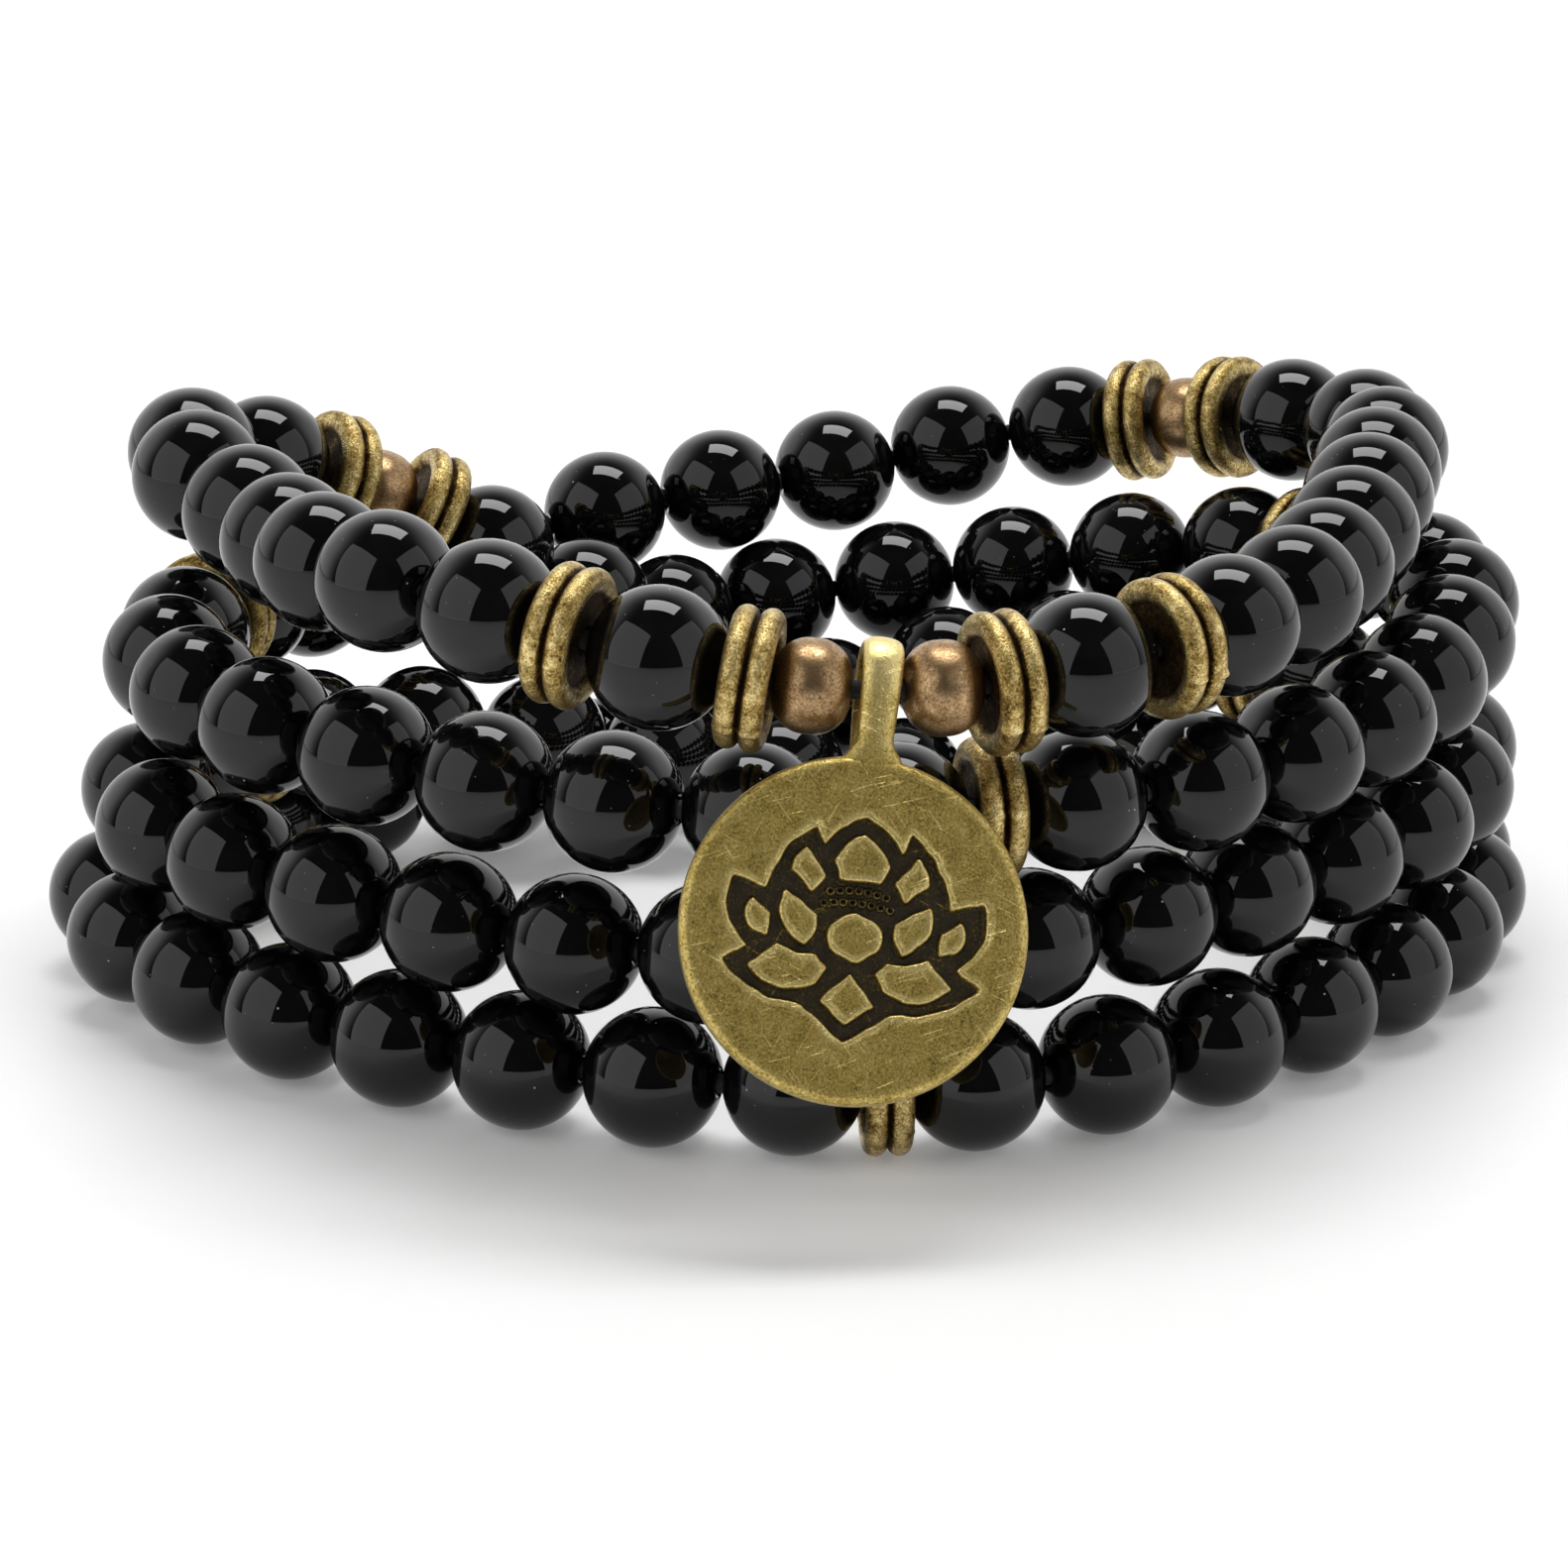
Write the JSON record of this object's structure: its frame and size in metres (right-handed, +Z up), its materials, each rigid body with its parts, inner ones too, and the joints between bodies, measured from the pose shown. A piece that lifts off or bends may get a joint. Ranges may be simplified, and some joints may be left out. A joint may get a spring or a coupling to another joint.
{
  "type": "mala prayer beads",
  "caption": "Mala prayer beads strung on elastic as a stacked wrap bracelet, with black round beads, double-rim metal spacers, small copper beads and a lotus disc charm.",
  "frame": {"origin": "middle of the bracelet on the surface that it lies on", "axes": "+Z up, along the wrist opening; the charm is at the front, -Y; +X to the right seen from the front"},
  "size_m": [0.068, 0.0716, 0.0268],
  "materials": {
    "stone": "polished black stone",
    "spacer_brass": "antique cast",
    "copper": "worn copper plating",
    "charm_brass": "antique satin",
    "elastic": "matt"
  },
  "bodies": {
    "bead_strings": {"inner_back_beads": "stone", "middle_right_beads": "stone", "middle_left_beads": "stone", "outer_back_beads": "stone", "charm_elastic": "elastic", "charm_knot": "elastic", "lower_beads_1": "stone", "lower_beads_2": "stone", "lower_beads_3": "stone", "lower_beads_4": "stone", "lower_beads_5": "stone", "lower_beads_6": "stone", "plain_elastic": "elastic", "plain_knot": "elastic"},
    "lotus_charm": {"lotus_charm": "charm_brass"},
    "left_charm_barrel": {"left_charm_barrel": "copper"},
    "left_guard_spacer_1": {"left_guard_spacer_1": "spacer_brass"},
    "left_guard_bead": {"left_guard_bead": "stone"},
    "left_guard_spacer_2": {"left_guard_spacer_2": "spacer_brass"},
    "left_bead_1": {"left_bead_1": "stone"},
    "left_bead_2": {"left_bead_2": "stone"},
    "left_bead_3": {"left_bead_3": "stone"},
    "left_bead_4": {"left_bead_4": "stone"},
    "left_bead_5": {"left_bead_5": "stone"},
    "left_bead_6": {"left_bead_6": "stone"},
    "left_bead_7": {"left_bead_7": "stone"},
    "left_bead_8": {"left_bead_8": "stone"},
    "left_marker_spacer_1": {"left_marker_spacer_1": "spacer_brass"},
    "left_marker_barrel": {"left_marker_barrel": "copper"},
    "left_marker_spacer_2": {"left_marker_spacer_2": "spacer_brass"},
    "right_turn_spacer": {"right_turn_spacer": "spacer_brass"},
    "middle_front_spacer": {"middle_front_spacer": "spacer_brass"},
    "left_turn_spacer": {"left_turn_spacer": "spacer_brass"},
    "right_marker_spacer_2": {"right_marker_spacer_2": "spacer_brass"},
    "right_marker_barrel": {"right_marker_barrel": "copper"},
    "right_marker_spacer_1": {"right_marker_spacer_1": "spacer_brass"},
    "right_bead_9": {"right_bead_9": "stone"},
    "right_bead_8": {"right_bead_8": "stone"},
    "right_bead_7": {"right_bead_7": "stone"},
    "right_bead_6": {"right_bead_6": "stone"},
    "right_bead_5": {"right_bead_5": "stone"},
    "right_bead_4": {"right_bead_4": "stone"},
    "right_bead_3": {"right_bead_3": "stone"},
    "right_bead_2": {"right_bead_2": "stone"},
    "right_bead_1": {"right_bead_1": "stone"},
    "right_guard_spacer_2": {"right_guard_spacer_2": "spacer_brass"},
    "right_guard_bead": {"right_guard_bead": "stone"},
    "right_guard_spacer_1": {"right_guard_spacer_1": "spacer_brass"},
    "right_charm_barrel": {"right_charm_barrel": "copper"},
    "lower_spacer_1": {"lower_spacer_1": "spacer_brass"},
    "lower_spacer_2": {"lower_spacer_2": "spacer_brass"},
    "lower_spacer_3": {"lower_spacer_3": "spacer_brass"},
    "lower_spacer_4": {"lower_spacer_4": "spacer_brass"},
    "lower_spacer_5": {"lower_spacer_5": "spacer_brass"},
    "lower_spacer_6": {"lower_spacer_6": "spacer_brass"}
  },
  "joints": [
    {"name": "charm_swing", "type": "hinge", "parent": "bead_strings", "child": "lotus_charm", "pos_m": [0.00335, -0.02708, 0.02133], "axis": [-0.9941, -0.0977, 0.0479], "range_deg": [0, 150]},
    {"name": "left_charm_barrel_spin", "type": "hinge", "parent": "bead_strings", "child": "left_charm_barrel", "pos_m": [0.00066, -0.02715, 0.02154], "axis": [-0.9954, 0.0154, 0.0946], "continuous": true},
    {"name": "left_guard_spacer_1_spin", "type": "hinge", "parent": "bead_strings", "child": "left_guard_spacer_1", "pos_m": [-0.00185, -0.02701, 0.02182], "axis": [-0.9791, 0.1429, 0.1449], "continuous": true},
    {"name": "left_guard_bead_spin", "type": "hinge", "parent": "bead_strings", "child": "left_guard_bead", "pos_m": [-0.00557, -0.02621, 0.02248], "axis": [-0.9584, 0.225, 0.1755], "continuous": true},
    {"name": "left_guard_spacer_2_spin", "type": "hinge", "parent": "bead_strings", "child": "left_guard_spacer_2", "pos_m": [-0.00924, -0.02521, 0.02313], "axis": [-0.9134, 0.3778, 0.1517], "continuous": true},
    {"name": "left_bead_1_spin", "type": "hinge", "parent": "bead_strings", "child": "left_bead_1", "pos_m": [-0.01257, -0.0233, 0.02364], "axis": [-0.8434, 0.5228, 0.1239], "continuous": true},
    {"name": "left_bead_2_spin", "type": "hinge", "parent": "bead_strings", "child": "left_bead_2", "pos_m": [-0.01706, -0.01927, 0.02383], "axis": [-0.6175, 0.7842, -0.0614], "continuous": true},
    {"name": "left_bead_3_spin", "type": "hinge", "parent": "bead_strings", "child": "left_bead_3", "pos_m": [-0.02001, -0.01404, 0.02324], "axis": [-0.3426, 0.9301, -0.1324], "continuous": true},
    {"name": "left_bead_4_spin", "type": "hinge", "parent": "bead_strings", "child": "left_bead_4", "pos_m": [-0.02191, -0.00834, 0.0226], "axis": [-0.2878, 0.9545, -0.0777], "continuous": true},
    {"name": "left_bead_5_spin", "type": "hinge", "parent": "bead_strings", "child": "left_bead_5", "pos_m": [-0.02405, -0.00269, 0.02245], "axis": [-0.4185, 0.9078, 0.0272], "continuous": true},
    {"name": "left_bead_6_spin", "type": "hinge", "parent": "bead_strings", "child": "left_bead_6", "pos_m": [-0.02675, 0.0027, 0.02271], "axis": [-0.4753, 0.8778, 0.0597], "continuous": true},
    {"name": "left_bead_7_spin", "type": "hinge", "parent": "bead_strings", "child": "left_bead_7", "pos_m": [-0.02752, 0.00868, 0.02226], "axis": [0.1935, 0.9638, -0.1833], "continuous": true},
    {"name": "left_bead_8_spin", "type": "hinge", "parent": "bead_strings", "child": "left_bead_8", "pos_m": [-0.02452, 0.01366, 0.02064], "axis": [0.7697, 0.5484, -0.3268], "continuous": true},
    {"name": "left_marker_spacer_1_spin", "type": "hinge", "parent": "bead_strings", "child": "left_marker_spacer_1", "pos_m": [-0.02154, 0.01572, 0.01934], "axis": [0.7919, 0.4854, -0.3705], "continuous": true},
    {"name": "left_marker_barrel_spin", "type": "hinge", "parent": "bead_strings", "child": "left_marker_barrel", "pos_m": [-0.01948, 0.01675, 0.01828], "axis": [0.8186, 0.3677, -0.4412], "continuous": true},
    {"name": "left_marker_spacer_2_spin", "type": "hinge", "parent": "bead_strings", "child": "left_marker_spacer_2", "pos_m": [-0.01738, 0.01759, 0.0171], "axis": [0.8293, 0.2441, -0.5026], "continuous": true},
    {"name": "right_turn_spacer_spin", "type": "hinge", "parent": "bead_strings", "child": "right_turn_spacer", "pos_m": [0.0254, 0.02135, 0.01408], "axis": [0.7011, -0.7015, 0.1277], "continuous": true},
    {"name": "middle_front_spacer_spin", "type": "hinge", "parent": "bead_strings", "child": "middle_front_spacer", "pos_m": [0.00814, -0.02321, 0.01506], "axis": [-0.9742, -0.2259, -0.0011], "continuous": true},
    {"name": "left_turn_spacer_spin", "type": "hinge", "parent": "bead_strings", "child": "left_turn_spacer", "pos_m": [-0.02684, 0.00826, 0.01453], "axis": [0.2924, 0.9505, -0.1052], "continuous": true},
    {"name": "right_marker_spacer_2_spin", "type": "hinge", "parent": "bead_strings", "child": "right_marker_spacer_2", "pos_m": [0.01772, 0.03086, 0.0182], "axis": [0.9018, -0.3983, 0.1674], "continuous": true},
    {"name": "right_marker_barrel_spin", "type": "hinge", "parent": "bead_strings", "child": "right_marker_barrel", "pos_m": [0.01991, 0.02964, 0.01861], "axis": [0.8416, -0.5177, 0.1539], "continuous": true},
    {"name": "right_marker_spacer_1_spin", "type": "hinge", "parent": "bead_strings", "child": "right_marker_spacer_1", "pos_m": [0.022, 0.02823, 0.01899], "axis": [0.7672, -0.6265, 0.1378], "continuous": true},
    {"name": "right_bead_9_spin", "type": "hinge", "parent": "bead_strings", "child": "right_bead_9", "pos_m": [0.02481, 0.02565, 0.01949], "axis": [0.7194, -0.6827, 0.1277], "continuous": true},
    {"name": "right_bead_8_spin", "type": "hinge", "parent": "bead_strings", "child": "right_bead_8", "pos_m": [0.02783, 0.02047, 0.02023], "axis": [0.2604, -0.9594, 0.1085], "continuous": true},
    {"name": "right_bead_7_spin", "type": "hinge", "parent": "bead_strings", "child": "right_bead_7", "pos_m": [0.02817, 0.01448, 0.02082], "axis": [-0.1705, -0.9818, 0.0835], "continuous": true},
    {"name": "right_bead_6_spin", "type": "hinge", "parent": "bead_strings", "child": "right_bead_6", "pos_m": [0.02717, 0.00854, 0.02131], "axis": [-0.1616, -0.9838, 0.0777], "continuous": true},
    {"name": "right_bead_5_spin", "type": "hinge", "parent": "bead_strings", "child": "right_bead_5", "pos_m": [0.02619, 0.00259, 0.02158], "axis": [-0.1618, -0.9868, 0.0106], "continuous": true},
    {"name": "right_bead_4_spin", "type": "hinge", "parent": "bead_strings", "child": "right_bead_4", "pos_m": [0.02493, -0.00332, 0.02156], "axis": [-0.2534, -0.9672, -0.0171], "continuous": true},
    {"name": "right_bead_3_spin", "type": "hinge", "parent": "bead_strings", "child": "right_bead_3", "pos_m": [0.02324, -0.00911, 0.0216], "axis": [-0.308, -0.9509, 0.0309], "continuous": true},
    {"name": "right_bead_2_spin", "type": "hinge", "parent": "bead_strings", "child": "right_bead_2", "pos_m": [0.02133, -0.01483, 0.02191], "axis": [-0.3235, -0.9436, 0.0701], "continuous": true},
    {"name": "right_bead_1_spin", "type": "hinge", "parent": "bead_strings", "child": "right_bead_1", "pos_m": [0.01822, -0.02, 0.02205], "axis": [-0.6848, -0.7283, -0.0244], "continuous": true},
    {"name": "right_guard_spacer_2_spin", "type": "hinge", "parent": "bead_strings", "child": "right_guard_spacer_2", "pos_m": [0.01544, -0.02272, 0.02193], "axis": [-0.8131, -0.5796, -0.0553], "continuous": true},
    {"name": "right_guard_bead_spin", "type": "hinge", "parent": "bead_strings", "child": "right_guard_bead", "pos_m": [0.012, -0.02445, 0.02163], "axis": [-0.9076, -0.4113, -0.0838], "continuous": true},
    {"name": "right_guard_spacer_1_spin", "type": "hinge", "parent": "bead_strings", "child": "right_guard_spacer_1", "pos_m": [0.00847, -0.02598, 0.02133], "axis": [-0.941, -0.3343, -0.0526], "continuous": true},
    {"name": "right_charm_barrel_spin", "type": "hinge", "parent": "bead_strings", "child": "right_charm_barrel", "pos_m": [0.00601, -0.02662, 0.02128], "axis": [-0.977, -0.2133, 0], "continuous": true},
    {"name": "lower_spacer_1_spin", "type": "hinge", "parent": "bead_strings", "child": "lower_spacer_1", "pos_m": [0.00628, -0.02392, 0.00914], "axis": [-0.9729, -0.2311, 0.0035], "continuous": true},
    {"name": "lower_spacer_2_spin", "type": "hinge", "parent": "bead_strings", "child": "lower_spacer_2", "pos_m": [-0.02527, 0.00809, 0.00849], "axis": [0.6422, 0.7618, -0.0848], "continuous": true},
    {"name": "lower_spacer_3_spin", "type": "hinge", "parent": "bead_strings", "child": "lower_spacer_3", "pos_m": [0.02642, 0.01694, 0.00311], "axis": [0.7131, -0.701, 0.0025], "continuous": true},
    {"name": "lower_spacer_4_spin", "type": "hinge", "parent": "bead_strings", "child": "lower_spacer_4", "pos_m": [0.00383, -0.02404, 0.00311], "axis": [-0.9979, -0.0653, -0.0005], "continuous": true},
    {"name": "lower_spacer_5_spin", "type": "hinge", "parent": "bead_strings", "child": "lower_spacer_5", "pos_m": [-0.02782, 0.01017, 0.00314], "axis": [0.5778, 0.8159, -0.0228], "continuous": true},
    {"name": "lower_spacer_6_spin", "type": "hinge", "parent": "bead_strings", "child": "lower_spacer_6", "pos_m": [0.02269, 0.01842, 0.00923], "axis": [0.8266, -0.5628, 0.0081], "continuous": true}
  ]
}
